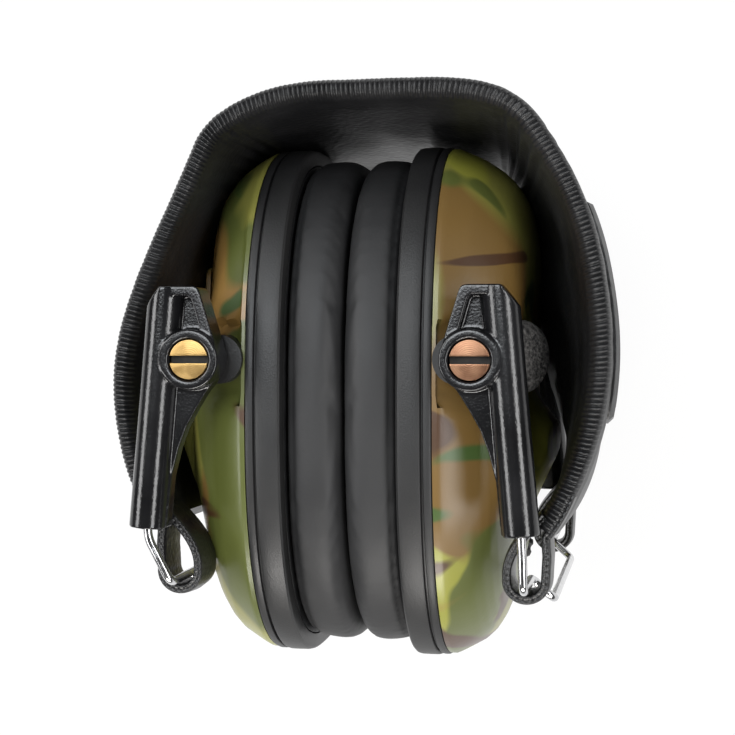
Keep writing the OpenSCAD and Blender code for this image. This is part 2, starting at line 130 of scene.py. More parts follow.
LAMPS_AIM_AT = Vector((0, 0, 0.05))
for name, place, wide, tall, power, hue in (
        ("overhead", (-0.10, 0.20, 0.62), 0.30, 0.30, 2.2, (0.93, 0.97, 1.0)),
        ("left_strip", (-0.36, 0.05, 0.36), 0.16, 0.5, 1.7, (1, 1, 1)),
        ("right_strip", (0.36, -0.05, 0.42), 0.16, 0.5, 1.9, (1, 1, 1)),
        ("foot_fill", (0.02, -0.46, 0.36), 0.4, 0.16, 2.8, (1.0, 0.975, 0.94))):
    lamp = bpy.data.lights.new(name, "AREA")
    lamp.color = hue
    lamp.shape = "RECTANGLE"
    lamp.size, lamp.size_y, lamp.energy = wide, tall, power
    holder = bpy.data.objects.new(name, lamp)
    bpy.context.scene.collection.objects.link(holder)
    away = (Vector(place) - LAMPS_AIM_AT).normalized()
    across = Vector((0, 1, 0)).cross(away).normalized()
    if abs(away.y) > 0.6:
        across = Vector((1, 0, 0))
    holder.matrix_world = Matrix.Translation(place) @ Matrix(
        (across, away.cross(across), away)).transposed().to_4x4()

# ---- Headband ----
# The padded band: leatherette over foam and a spring strip, its two faces welded together
# along the front and rear edges, where the welding tool leaves fine ribs.
MIDDLE = 46.5  # height of the folded earmuff's middle plane over the table
MIDDLE_X = -2.3  # where the two cushions meet
SIDE = {"right": 1, "left": -1}
SHOULDER = np.array((28.5, 43.8))
TURN = np.array((9.0, -15.6))
crown_curve = np.array(((0, 51.3), (12, 51.3), SHOULDER - TURN * 0.44, SHOULDER))
side_curve = np.array((SHOULDER, SHOULDER + TURN, (50, -6.7), (34.7, -26.2)))


def along(curve, t):
    """Points of a Bezier curve at the shares t."""
    t = np.asarray(t)[:, None]
    return ((1 - t) ** 3 * curve[0] + 3 * t * (1 - t) ** 2 * curve[1]
            + 3 * t * t * (1 - t) * curve[2] + t ** 3 * curve[3])


LINE_POINTS = 400
shares = np.linspace(0, 1, LINE_POINTS)
band_line = np.vstack((along(crown_curve, shares), along(side_curve, shares)[1:]))
band_step = np.linalg.norm(np.diff(band_line, axis=0), axis=1)
band_reach = np.concatenate(((0,), np.cumsum(band_step)))
CROWN_END = float(band_reach[LINE_POINTS - 1])
BAND_END = float(band_reach[-1])


def side_reach(t):
    """Distance along the band of the share t of its side curve."""
    return float(np.interp(t, shares, band_reach[LINE_POINTS - 1:]))


def soft_step(x, low, high):
    """Rises softly from 0 at low to 1 at high."""
    t = np.clip((x - low) / (high - low), 0, 1)
    return t * t * (3 - 2 * t)


def eased(far, places, values):
    """Values along the band between the given places, with soft turns."""
    return sum(np.interp(far + d, places, values) for d in (-7, -4, -1, 1, 4, 7)) / 6


REAR_AT = (0, 20, 36, 60, 80, 92, 101)
REAR_DRAWN_IN = {"right": (6.4, 6.8, 10, 12.6, 10.5, 4, 0), "left": (6.4, 6.4, 5.6, 4.4, 3.6, 2, 0)}
FRONT_AT = (0, 12, 24, 36, 48, 60, 72, 84, 96, 104)
FRONT_FLARED = {"right": (1.2, 1.5, 3.4, 4.8, 5.6, 4.4, 3.0, 0.6, -1.4, -1.0),
                "left": (1.2, 1.5, -0.9, -2.4, -1.8, -0.3, 1.2, 0.2, -0.4, -0.6)}


def band_set(far, across, hand):
    """How far the worn band stands out of true, along its length and across its width."""
    rear = eased(far, REAR_AT, REAR_DRAWN_IN[hand])
    front = eased(far, FRONT_AT, FRONT_FLARED[hand])
    return (front * np.clip((across + 10) / 49, 0, 1) ** 1.3
            - rear * np.clip((10 - across) / 49, 0, 1) ** 1.4)


def wrap_on_band(flat, hand):
    """Turns flat points round the band: distance along it, height over it, place across it."""
    flat = flat + np.stack((0 * flat[:, 0], band_set(flat[:, 0], flat[:, 2], hand), 0 * flat[:, 0]), 1)
    far = flat[:, 0]
    x = np.interp(far, band_reach, band_line[:, 0])
    y = np.interp(far, band_reach, band_line[:, 1])
    ahead = np.stack([np.interp(far + 0.6, band_reach, band_line[:, k])
                      - np.interp(far - 0.6, band_reach, band_line[:, k]) for k in (0, 1)], 1)
    ahead[far < 0.6] = (1, 0)
    ahead /= np.linalg.norm(ahead, axis=1)[:, None]
    past = np.maximum(far - BAND_END, 0)[:, None]
    xy = np.stack((x, y), 1) + past * ahead + flat[:, 1:2] * np.stack((-ahead[:, 1], ahead[:, 0]), 1)
    return np.column_stack((SIDE[hand] * xy[:, 0], xy[:, 1], MIDDLE + flat[:, 2])) * MM


def points_of(piece):
    """A piece's vertices, one row each."""
    flat = np.empty(len(piece.data.vertices) * 3)
    piece.data.vertices.foreach_get("co", flat)
    return flat.reshape(-1, 3)


def put_points(piece, places):
    piece.data.vertices.foreach_set("co", np.asarray(places, float).ravel())
    piece.data.update()


def pick(*pieces):
    """Selects these pieces only, the first of them active."""
    bpy.ops.object.select_all(action="DESELECT")
    for piece in pieces:
        piece.select_set(True)
    bpy.context.view_layer.objects.active = pieces[0]


def edit(piece, *steps):
    """Runs mesh operators in edit mode on everything in a piece."""
    pick(piece)
    bpy.ops.object.mode_set(mode="EDIT")
    bpy.ops.mesh.select_all(action="SELECT")
    for step in steps:
        step()
    bpy.ops.object.mode_set(mode="OBJECT")


def face_out():
    bpy.ops.mesh.normals_make_consistent(inside=False)


def merge_and_face_out():
    bpy.ops.mesh.remove_doubles(threshold=1e-6)
    face_out()


def close_and_face_out():
    """Merges the seam of a rolled sheet, caps its open ends and turns its faces outwards."""
    bpy.ops.mesh.remove_doubles(threshold=1e-6)
    bpy.ops.mesh.select_all(action="DESELECT")
    bpy.ops.mesh.select_non_manifold(extend=False)
    bpy.ops.mesh.edge_face_add()
    bpy.ops.mesh.select_all(action="SELECT")
    face_out()


def smooth(piece, angle):
    """Shades a piece smooth, with edges sharper than the angle left crisp."""
    pick(piece)
    bpy.ops.object.shade_smooth_by_angle(angle=math.radians(angle))


def finish_modifiers(piece):
    pick(piece)
    for modifier in list(piece.modifiers):
        bpy.ops.object.modifier_apply(modifier=modifier.name)


def waves(x, y, seed, rough=3):
    """Soft seeded unevenness between about -1 and 1."""
    draw = np.random.default_rng(seed)
    out = np.zeros_like(x)
    for k in range(rough * 3):
        a, b, c = draw.uniform(-1, 1), draw.uniform(-1, 1), draw.uniform(0, 6.28)
        size = 1.7 ** (k // 3)
        out += np.sin(size * (a * x + b * y) + c) / size
    return out / 3


def pushed(x, power):
    """A power that keeps the sign: below 1 it squares off a round section."""
    return np.sign(x) * np.abs(x) ** power


def texture(nodes, links, place, kind, scale):
    """A texture of the given kind and scale on Object coordinates."""
    pattern = nodes.new("ShaderNodeTex" + kind)
    dial(pattern, Scale=scale)
    links.new(place.outputs["Object"], pattern.inputs["Vector"])
    return pattern


def tint(nodes, links, colours, size, detail=4):
    """A colour ramp over a noise on Object coordinates."""
    place = nodes.new("ShaderNodeTexCoord")
    grain = texture(nodes, links, place, "Noise", size)
    dial(grain, Detail=detail)
    ramp = nodes.new("ShaderNodeValToRGB")
    ramp.color_ramp.elements[0].position = 0.35
    ramp.color_ramp.elements[1].position = 0.65
    for stop, colour in zip(ramp.color_ramp.elements, colours):
        stop.color = (*colour, 1)
    links.new(grain.outputs["Fac"], ramp.inputs["Fac"])
    return place, grain, ramp


def span(nodes, links, source, low, high):
    """Spreads the middle of a noise's values between low and high."""
    reach = nodes.new("ShaderNodeMapRange")
    dial(reach, From_Min=0.3, From_Max=0.7, To_Min=low, To_Max=high)
    links.new(source, reach.inputs["Value"])
    return reach.outputs[0]


def bump(nodes, links, surface, source, depth, strength=0.6, below=None):
    """Adds a relief of the given depth in metres to a surface."""
    relief = nodes.new("ShaderNodeBump")
    dial(relief, Strength=strength, Distance=depth)
    links.new(source, relief.inputs["Height"])
    if below:
        links.new(below.outputs["Normal"], relief.inputs["Normal"])
    links.new(relief.outputs["Normal"], surface.inputs["Normal"])
    return relief


def base_finish(name, dark, pale, size, rough, metallic=0.0, detail=4):
    """A finish whose colour wanders between two tones, and its gloss between two roughnesses."""
    material, nodes, links, surface = new_material(name)
    place, grain, ramp = tint(nodes, links, (dark, pale), size, detail)
    links.new(ramp.outputs["Color"], surface.inputs["Base Color"])
    dial(surface, Metallic=metallic)
    if isinstance(rough, tuple):
        links.new(span(nodes, links, grain.outputs["Fac"], *rough), surface.inputs["Roughness"])
    else:
        dial(surface, Roughness=rough)
    return material, nodes, links, surface, place, grain


def leatherette(name, dark, pale, pebble=900, rough=(0.34, 0.52), depth=0.00012):
    """Pebbled black cover: cells of grain, a finer pore noise and slow changes of sheen."""
    material, nodes, links, surface, place, cloud = base_finish(name, dark, pale, 60, rough)
    cells = texture(nodes, links, place, "Voronoi", pebble)
    cells.feature = "SMOOTH_F1"
    dial(cells, Smoothness=0.6)
    pores = texture(nodes, links, place, "Noise", pebble * 2.2)
    fine = bump(nodes, links, surface, pores.outputs["Fac"], depth * 0.4, 0.4)
    bump(nodes, links, surface, cells.outputs["Distance"], depth, 0.7, fine)
    return material


band_cover = leatherette("band_cover", (0.0060, 0.0060, 0.0066), (0.0105, 0.0104, 0.0112))
RIB = 0.86  # pitch of the welding tool's ribs
BAND_HALF = 39.0
COVER_HALF = 2.3  # half the padded thickness
SEAM_IN = 3.4  # seam line to band edge
for hand in SIDE:
    # A flat sheet, rolled into a tube: across it goes out over one face and back over the other.
    lengths, rounds = 820, 44
    bpy.ops.mesh.primitive_grid_add(x_subdivisions=lengths, y_subdivisions=rounds, size=1)
    cover = bpy.context.object
    cover.name = f"band_cover_{hand}"
    sheet_points = points_of(cover)
    far = (sheet_points[:, 0] + 0.5) * (BAND_END - 1.0)
    turn = (sheet_points[:, 1] + 0.5) * 2 * math.pi
    cosine, sine = np.cos(turn), np.sin(turn)
    across = BAND_HALF * pushed(cosine, 0.16)
    height = COVER_HALF * pushed(sine, 0.7)
    from_edge = BAND_HALF - np.abs(across)
    # Welded seam line, with the padding swelling between the two edges.
    seam = np.exp(-((from_edge - SEAM_IN) / 0.7) ** 2)
    height *= 1 - 0.16 * seam
    # Soft puckers that run in from the seam, and deeper creases where the shoulders flex.
    inside = np.clip(from_edge / 6, 0, 1)
    pucker = 0.16 * waves(far * 0.9, across * 0.12 + np.sign(height) * 5, 3) * np.exp(-from_edge / 9)
    at_shoulder = np.exp(-((far - CROWN_END) / 7.5) ** 2)
    wander = 1.6 * waves(across * 0.11, far * 0.05, 31 + SIDE[hand])
    fading = np.clip(0.75 + 0.9 * waves(across * 0.16, far * 0.4, 55 + SIDE[hand]), 0.1, 1.3)
    crease = at_shoulder * fading * 0.42 * np.sin((far - CROWN_END) * 1.9 + wander)
    height += np.sign(height) * inside * (pucker + np.where(height < 0, crease, 0.25 * crease) - 0.05)
    # The inner lining is stuffed, and stands in between the edges.
    lining = 1.2 - 1.2 * soft_step(far, 18, 26) + 3.0 * soft_step(far, 44, 62)
    lining = lining * (1 - soft_step(far, 84, 100)) * (1 - (across / BAND_HALF) ** 2)
    height -= np.where(height < 0, lining * np.abs(sine) ** 0.5, 0)
    # Ribs across both welded edges.
    on_edge = np.clip(1 - from_edge / 2.2, 0, 1) ** 0.5
    rib = 0.5 + 0.5 * np.cos(2 * math.pi * far / RIB)
    across -= np.sign(across) * on_edge * 0.42 * rib ** 1.4
    height *= 1 - 0.10 * on_edge * rib
    across -= np.sign(across) * 0.25 * (1 + waves(far * 0.14, across * 0, 8 + SIDE[hand])) * on_edge
    put_points(cover, wrap_on_band(np.column_stack((far, height, across)), hand))
    edit(cover, close_and_face_out)
    smooth(cover, 60)
    cover.data.materials.append(band_cover)
    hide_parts(f"sleeve_{hand}", f"shoulder_{hand}",
                *(("sleeve_crown",) if hand == "right" else ()))
    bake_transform(cover)

# The flat spring strips inside the cover, which hold the band's shape.
strip_steel = base_finish(
    "strip_steel", (0.30, 0.30, 0.31), (0.50, 0.50, 0.51), 300, (0.3, 0.45), 1.0)[0]
STRIP_HALF, STRIP_THICK_HALF = 24.5, 0.45


def fine_block(name, cuts):
    """A block cut into a fine grid, and its vertices' places from -1 to 1 in each direction."""
    bpy.ops.mesh.primitive_cube_add(size=2)
    block = bpy.context.object
    block.name = name
    edit(block, lambda: bpy.ops.mesh.subdivide(number_cuts=cuts))
    return block, *points_of(block).T


for hand in SIDE:
    for stretch, start, stop, body in (("crown", 0, CROWN_END - 3.1, "crown"),
                                       ("side", side_reach(0.03), side_reach(0.93), f"band_{hand}")):
        strip, a, h, b = fine_block(f"spring_strip_{stretch}_{hand}", 29)
        put_points(strip, wrap_on_band(np.column_stack((
            (start + stop) / 2 + a * (stop - start) / 2, STRIP_THICK_HALF * h, STRIP_HALF * b)), hand))
        edit(strip, face_out)
        smooth(strip, 40)
        strip.data.materials.append(strip_steel)
        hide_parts(*(("spring_crown",) if stretch == "crown" else (f"spring_{hand}",)))
        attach(strip, body)

# ---- Side pads ----
# A thin raised leatherette pad glued on the outside of each side of the band,
# with rounded corners and a pressed border.
pad_cover = leatherette("pad_cover", (0.0075, 0.0075, 0.0080), (0.0125, 0.0125, 0.0132),
                        760, (0.3, 0.45))
PAD_FROM, PAD_TO, PAD_HALF, PAD_THICK = side_reach(0.22), side_reach(0.72), 33.0, 1.2
for hand in SIDE:
    pad, a, h, b = fine_block(f"side_pad_cover_{hand}", 39)
    plan_a = a * np.sqrt(1 - 0.13 * b ** 6)
    plan_b = b * np.sqrt(1 - 0.10 * a ** 6)
    rim = np.maximum(np.abs(a), np.abs(b))
    border = np.exp(-((rim - 0.9) / 0.03) ** 2)
    top = PAD_THICK * (1 - 0.75 * np.clip((rim - 0.93) / 0.07, 0, 1) ** 2) - 0.28 * border
    height = COVER_HALF + np.where(h > 0, top, 0.5) * h
    put_points(pad, wrap_on_band(np.column_stack((
        (PAD_FROM + PAD_TO) / 2 + plan_a * (PAD_TO - PAD_FROM) / 2, height, plan_b * PAD_HALF)), hand))
    edit(pad, face_out)
    smooth(pad, 50)
    pad.data.materials.append(pad_cover)
    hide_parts(f"side_pad_{hand}")
    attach(pad, f"band_{hand}")

# ---- Strap loops ----
# Two folded leatherette tabs at each end of the band, front and rear, each sewn back on
# itself round an eye that the steel wire hangs in.
EYE = np.array((31.3, -33.6))
EYE_TURN, TAB_Z, TAB_HALF = 3.4, 33.5, 5.0
strap_cover = leatherette("strap_cover", (0.0060, 0.0060, 0.0064), (0.0130, 0.0128, 0.0130),
                          1100, (0.28, 0.42))


def path_frames(path, count):
    """Evenly spaced points of an open path, and the unit direction at each."""
    path = np.asarray(path, float)
    reach = np.concatenate(((0,), np.cumsum(np.linalg.norm(np.diff(path, axis=0), axis=1))))
    even = np.linspace(0, reach[-1], count)
    points = np.stack([np.interp(even, reach, path[:, k]) for k in range(path.shape[1])], 1)
    ahead = np.gradient(points, axis=0)
    return points, ahead / np.linalg.norm(ahead, axis=1)[:, None]


band_tail = along(side_curve, np.linspace(0.88, 1.0, 8))
round_eye = [EYE + EYE_TURN * np.array((math.cos(t), math.sin(t)))
             for t in np.radians(np.linspace(2, -186, 40))]
strap_path = np.vstack((band_tail, (EYE + (3.62, 4.2))[None], round_eye,
                        along(np.array(((27.9, -33.0), (27.8, -29.5), (30.0, -26.5), (34.4, -22.4))),
                              np.linspace(0.05, 1, 20))))
for hand in SIDE:
    loop_parts = []
    for tab_z in (TAB_Z, -TAB_Z):
        lengths, rounds = 304, 36
        bpy.ops.mesh.primitive_grid_add(x_subdivisions=lengths, y_subdivisions=rounds, size=1)
        tab = bpy.context.object
        middles, ahead = path_frames(strap_path, lengths + 1)
        sheet_points = points_of(tab)
        step = np.rint((sheet_points[:, 0] + 0.5) * lengths).astype(int)
        turn = (sheet_points[:, 1] + 0.5) * 2 * math.pi
        cosine, sine = np.cos(turn), np.sin(turn)
        across = TAB_HALF * pushed(cosine, 0.22)
        thick = pushed(sine, 0.5)
        thick *= 1 + 0.10 * np.cos(across * math.pi / 4.4) - 0.03
        # Two layers meet along each edge, and the cover's ribs run on over them.
        on_edge = np.clip((np.abs(across) - 4.2) / 0.8, 0, 1)
        rib = 0.5 + 0.5 * np.cos(2 * math.pi * step / lengths * 38)
        across -= np.sign(across) * on_edge * (0.14 * rib + 0.3 * np.exp(-(thick / 0.22) ** 2))
        xy = middles[step] + thick[:, None] * np.stack((-ahead[step, 1], ahead[step, 0]), 1)
        put_points(tab, np.column_stack((SIDE[hand] * xy[:, 0], xy[:, 1],
                                         MIDDLE + tab_z + across)) * MM)
        edit(tab, close_and_face_out)
        tab.data.materials.append(strap_cover)
        loop_parts.append(tab)
    pick(*loop_parts)
    bpy.ops.object.join()
    loop = bpy.context.object
    loop.name = f"strap_loop_tabs_{hand}"
    edit(loop, face_out)
    smooth(loop, 50)
    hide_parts(f"strap_loop_{hand}")
    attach(loop, f"band_{hand}")

# ---- Wire yokes ----
# One bent steel wire on each side: a leg slides in each arm's tube, and the bow between them
# hangs in the strap loops.
spring_wire, nodes, links, surface, place, grain = base_finish(
    "spring_wire", (0.50, 0.50, 0.51), (0.72, 0.72, 0.73), 500, (0.12, 0.28), 1.0)
bump(nodes, links, surface, grain.outputs["Fac"], 0.00002, 0.5)


def rounded_path(corners, radius, steps=8):
    """An open path with each corner rounded."""
    out = [corners[0]]
    for before, at, after in zip(corners, corners[1:], corners[2:]):
        come, leave = (before - at).normalized(), (after - at).normalized()
        reach = min(radius, (before - at).length * 0.45, (after - at).length * 0.45)
        start, stop = at + come * reach, at + leave * reach
        for k in range(steps + 1):
            t = k / steps
            out.append(start * (1 - t) ** 2 + at * 2 * t * (1 - t) + stop * t * t)
    return out + [corners[-1]]


TUBE_LEAN = math.radians(5)
TUBE_Z = 43.3  # the front arms' tubes, over the middle plane
WIRE_RADIUS, WIRE_BEND = 0.8, 1.9
tube_dir = Vector((-math.sin(TUBE_LEAN), math.cos(TUBE_LEAN)))
in_eye = Vector((31.3, -34.9))
bar_turn = math.radians(42)
for hand in SIDE:
    foot = Vector((30.9 if hand == "right" else 35.5, -25.2))
    bar = in_eye + 5.4 * Vector((math.cos(bar_turn), -math.sin(bar_turn)))
    half = [(foot + tube_dir * 34, TUBE_Z), (foot - tube_dir * 1.6, TUBE_Z), (in_eye, TUBE_Z),
            (in_eye, 26.3), (bar, 26.3)]
    corners = [Vector((SIDE[hand] * p.x, p.y, MIDDLE + z)) * MM for p, z in half]
    corners += [Vector((SIDE[hand] * p.x, p.y, MIDDLE - z)) * MM for p, z in reversed(half)]
    run = rounded_path(corners, WIRE_BEND * MM)
    bpy.ops.curve.primitive_bezier_curve_add()
    wire = bpy.context.object
    wire.name = f"steel_wire_{hand}"
    wire.data.splines.clear()
    spline = wire.data.splines.new("POLY")
    spline.points.add(len(run) - 1)
    for point, place in zip(spline.points, run):
        point.co = (*place, 1)
    wire.data.dimensions = "3D"
    wire.data.bevel_depth = WIRE_RADIUS * MM
    wire.data.bevel_resolution = 5
    wire.data.use_fill_caps = True
    bpy.ops.object.convert(target="MESH")
    wire = bpy.context.object
    wire.location = (0, 0, 0)
    edit(wire, lambda: bpy.ops.mesh.remove_doubles(threshold=1e-7),
         face_out)
    smooth(wire, 50)
    wire.data.materials.append(spring_wire)
    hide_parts(f"wire_yoke_{hand}")
    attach(wire, f"yoke_{hand}")

# ---- Arms ----
# Glossy black injection-moulded arms, two on each cup: a tube for the wire leg, a ringed boss
# round the pivot and a stiffening web between them, all edges softly rounded.
arm_gloss, nodes, links, surface, place, grain = base_finish(
    "arm_gloss", (0.0045, 0.0045, 0.0050), (0.0080, 0.0080, 0.0088), 90, (0.12, 0.22))
dial(surface, Coat_Weight=0.15, Coat_Roughness=0.05)
swirl = texture(nodes, links, place, "Noise", 420)
pebbles = texture(nodes, links, place, "Noise", 2400)
moulded = bump(nodes, links, surface, pebbles.outputs["Fac"], 0.00007, 0.45)
bump(nodes, links, surface, swirl.outputs["Fac"], 0.00006, 0.25, moulded)


def rounded_copy(node, name, width, segments=3, flat_angle=2.0, edge_angle=28):
    """A moulded piece from its solid: doubles merged, flat faces made whole, edges rounded."""
    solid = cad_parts[node]
    piece = bpy.data.objects.new(name, solid.data.copy())
    piece.data.materials.clear()
    bpy.context.scene.collection.objects.link(piece)
    edit(piece, lambda: bpy.ops.mesh.remove_doubles(threshold=2e-6),
         lambda: bpy.ops.mesh.dissolve_limited(angle_limit=math.radians(flat_angle)))
    rounding = piece.modifiers.new("rounding", "BEVEL")
    rounding.width = width * MM
    rounding.segments = segments
    rounding.limit_method = "ANGLE"
    rounding.angle_limit = math.radians(edge_angle)
    rounding.use_clamp_overlap = True
    rounding.harden_normals = False
    finish_modifiers(piece)
    smooth(piece, 35)
    return piece


def prism(outline, low, high):
    """A flat plate with the given outline, between two heights."""
    bpy.ops.mesh.primitive_circle_add(vertices=len(outline), radius=MM, fill_type="NGON")
    plate = bpy.context.object
    put_points(plate, [(x * MM, y * MM, low * MM) for x, y in outline])
    edit(plate, lambda: bpy.ops.mesh.extrude_region_move(
        TRANSFORM_OT_translate={"value": (0, 0, (high - low) * MM)}),
        lambda: bpy.ops.mesh.select_all(action="SELECT"),
        face_out)
    return plate


def turned_rod(start, stop, radius):
    """A round rod between two places."""
    start, stop = Vector(start) * MM, Vector(stop) * MM
    turn = (stop - start).to_track_quat("Z", "Y").to_euler()
    bpy.ops.mesh.primitive_cylinder_add(vertices=96, radius=radius * MM, depth=(stop - start).length,
                                        location=(start + stop) / 2, rotation=turn)
    rod = bpy.context.object
    bpy.ops.object.transform_apply(location=True, rotation=True, scale=True)
    return rod


def combine(base, other, how):
    """Joins a solid to the base or cuts it away, and removes it."""
    cut = base.modifiers.new(how, "BOOLEAN")
    cut.operation = how
    cut.object = other
    cut.solver = "EXACT"
    finish_modifiers(base)
    bpy.data.objects.remove(other)


def twin(core, name):
    """A copy of a piece, with its own mesh."""
    piece = core.copy()
    piece.data = core.data.copy()
    piece.name = name
    bpy.context.scene.collection.objects.link(piece)
    return piece


PIVOT = (24.7, 4.7)
TUBE_FOOT, TUBE_LONG, TUBE_RADIUS = (33.31, -25.2), 42.9, 3.2
BOSS_RADIUS, SEAT_RADIUS, LEG_HOLE = 5.3, 3.72, 1.05
ARM_LOW, WEB_TOP, RIM_TOP, BOSS_TOP = 39.95, 43.1, 46.0, 46.6  # over the middle plane
arm_outline = ((19.6, 4.3), (20.0, 7.4), (22.8, 16.6), (23.2, 17.3), (24.0, 17.6), (29.6, 17.6),
               (33.2, -25.2), (29.8, -25.2), (29.5, -22.6), (28.9, -16.2), (27.6, -11.1),
               (26.2, -7.4), (24.3, -4.0), (22.5, -1.1), (20.3, 1.6))
rim_outline = ((19.6, 3.5), (19.6, 4.6), (20.0, 7.4), (22.8, 16.6), (23.2, 17.3), (24.0, 17.6),
               (30.0, 17.6), (30.0, 15.9), (25.0, 15.9), (24.3, 15.3), (21.9, 7.0), (21.5, 3.5))
corner_cut = ((29.6, 18.6), (30.1, 17.4), (33.0, 13.9), (35, 12.5), (35, 18.6))
tube_top = (TUBE_FOOT[0] - TUBE_LONG * math.sin(TUBE_LEAN),
            TUBE_FOOT[1] + TUBE_LONG * math.cos(TUBE_LEAN))
arm_core = prism(arm_outline, ARM_LOW, WEB_TOP)
for tool, how in (
        (prism(rim_outline, 40.5, RIM_TOP), "UNION"),
        (turned_rod((*TUBE_FOOT, TUBE_Z), (*tube_top, TUBE_Z), TUBE_RADIUS), "UNION"),
        (turned_rod((*PIVOT, 39.92), (*PIVOT, BOSS_TOP), BOSS_RADIUS), "UNION"),
        (turned_rod((*PIVOT, 44.4), (*PIVOT, 48), SEAT_RADIUS), "DIFFERENCE"),
        (turned_rod((33.4, -26.2, TUBE_Z), (33.0, -21.0, TUBE_Z), LEG_HOLE), "DIFFERENCE"),
        (prism(corner_cut, 39, 48), "DIFFERENCE")):
    combine(arm_core, tool, how)
# Melted together on a fine grid and eased, so that the joints flow as a moulding's do.
soften = arm_core.modifiers.new("flow", "REMESH")
soften.mode = "VOXEL"
soften.voxel_size = 0.21 * MM
ease = arm_core.modifiers.new("ease", "SMOOTH")
ease.factor, ease.iterations = 0.5, 7
finish_modifiers(arm_core)
core_points = points_of(arm_core) / MM
for hand in SIDE:
    for end, way in (("front", 1), ("rear", -1)):
        arm = twin(arm_core, f"arm_moulding_{end}_{hand}")
        put_points(arm, np.column_stack((MIDDLE_X + SIDE[hand] * core_points[:, 0], core_points[:, 1],
                                         MIDDLE + way * core_points[:, 2])) * MM)
        if SIDE[hand] * way < 0:
            edit(arm, lambda: bpy.ops.mesh.flip_normals())
        smooth(arm, 60)
        arm.data.materials.append(arm_gloss)
        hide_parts(f"arm_{end}_{hand}")
        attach(arm, f"arms_{hand}")
bpy.data.objects.remove(arm_core)

# ---- Pivot screws and brackets ----
# Slotted brass shoulder screws, turned on a lathe, that the arms swing on. Each screws into a
# black lug that stands out of the cup.
# Painted shade: a near-black brown laid on the insides of the screw slots, where little light reaches.
slot_painted_shade = base_finish("slot_painted_shade", (0.004, 0.003, 0.002), (0.016, 0.011, 0.007), 900, 0.7)[0]
SLOT_WIDE, SLOT_FLOOR = 1.35, 44.95
for hand, tone, deep in (("left", (0.50, 0.33, 0.13), (0.34, 0.21, 0.075)),
                         ("right", (0.34, 0.185, 0.11), (0.23, 0.115, 0.068))):
    pivot_x = MIDDLE_X + SIDE[hand] * PIVOT[0]
    turned_brass, nodes, links, surface, place, grain = base_finish(
        f"turned_brass_{hand}", deep, tone, 420, (0.30, 0.46), 1.0)
    centre = nodes.new("ShaderNodeMapping")
    dial(centre, Location=(-pivot_x * MM, -PIVOT[1] * MM, 0), Scale=(1, 1, 0))
    links.new(place.outputs["Object"], centre.inputs["Vector"])
    rings = nodes.new("ShaderNodeTexWave")
    rings.wave_type = "RINGS"
    rings.rings_direction = "Z"
    dial(rings, Scale=900, Distortion=1.5)
    links.new(centre.outputs["Vector"], rings.inputs["Vector"])
    bump(nodes, links, surface, rings.outputs["Fac"], 0.00003, 0.4)
    screws = rounded_copy(f"pivot_screws_{hand}", f"brass_screws_{hand}", 0.22)
    for way in (1, -1):
        bpy.ops.mesh.primitive_cube_add(size=1, location=(
            pivot_x * MM, PIVOT[1] * MM, (MIDDLE + way * (SLOT_FLOOR + 1.25)) * MM))
        slot_cut = bpy.context.object
        slot_cut.scale = (9 * MM, SLOT_WIDE * MM, 2.5 * MM)
        bpy.ops.object.transform_apply(location=True, rotation=True, scale=True)
        combine(screws, slot_cut, "DIFFERENCE")
    smooth(screws, 35)
    screws.data.materials.append(turned_brass)
    screws.data.materials.append(slot_painted_shade)
    for face in screws.data.polygons:
        # The slot's floor and walls take the near-black painted shade.
        in_slot = abs(face.center.y / MM - PIVOT[1]) < 0.69
        face.material_index = int(in_slot and 44.9 < abs(face.center.z / MM - MIDDLE) < 46.12)
    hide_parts(f"pivot_screws_{hand}")
    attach(screws, f"cup_{hand}")

satin_black, nodes, links, surface, place, grain = base_finish(
    "satin_black", (0.0075, 0.0075, 0.0080), (0.0125, 0.0122, 0.0122), 45, (0.42, 0.56))
spark = texture(nodes, links, place, "Voronoi", 2600)
bump(nodes, links, surface, spark.outputs["Distance"], 0.00005, 0.35)
# A lug's post, its root in the cup and its washer: distance out, both ends and radius.
LUG_POST = (PIVOT[0], 29.6, 39.0, 4.7)
LUG_ROOT = (21.6, 29.6, 38.6, 4.4)
LUG_WASHER = (PIVOT[0], 38.5, 39.6, 3.9)


def lug_rod(hand, way, u, low, high, radius):
    """A rod on one side of a cup, between two distances off the middle plane."""
    x = MIDDLE_X + SIDE[hand] * u
    return turned_rod((x, PIVOT[1], MIDDLE + way * low), (x, PIVOT[1], MIDDLE + way * high), radius)


for hand in SIDE:
    lug_parts = []
    for way in (1, -1):
        lug = lug_rod(hand, way, *LUG_POST)
        combine(lug, lug_rod(hand, way, *LUG_ROOT), "UNION")
        combine(lug, lug_rod(hand, way, *LUG_WASHER), "UNION")
        rounding = lug.modifiers.new("rounding", "BEVEL")
        rounding.width = 0.35 * MM
        rounding.segments = 3
        finish_modifiers(lug)
        lug_parts.append(lug)
    pick(*lug_parts)
    bpy.ops.object.join()
    lugs = bpy.context.object
    lugs.name = f"pivot_lugs_{hand}"
    smooth(lugs, 35)
    lugs.data.materials.append(satin_black)
    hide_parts(f"pivot_brackets_{hand}")
    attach(lugs, f"cup_{hand}")

# ---- Outer shells ----
# Moulded cup shells with a film-printed camouflage coat: a dome with a deeper lower half that
# ends in a ridge, and a channel that each pivot lug stands in.
CUP_Y, CUP_TALL, CUP_DEEP = -3.8, 99.5, 76.0
SHELL_TALL, SHELL_DEEP, SHELL_WALL, RIM_LEVEL = 49.45, 37.7, 2.2, 17.02
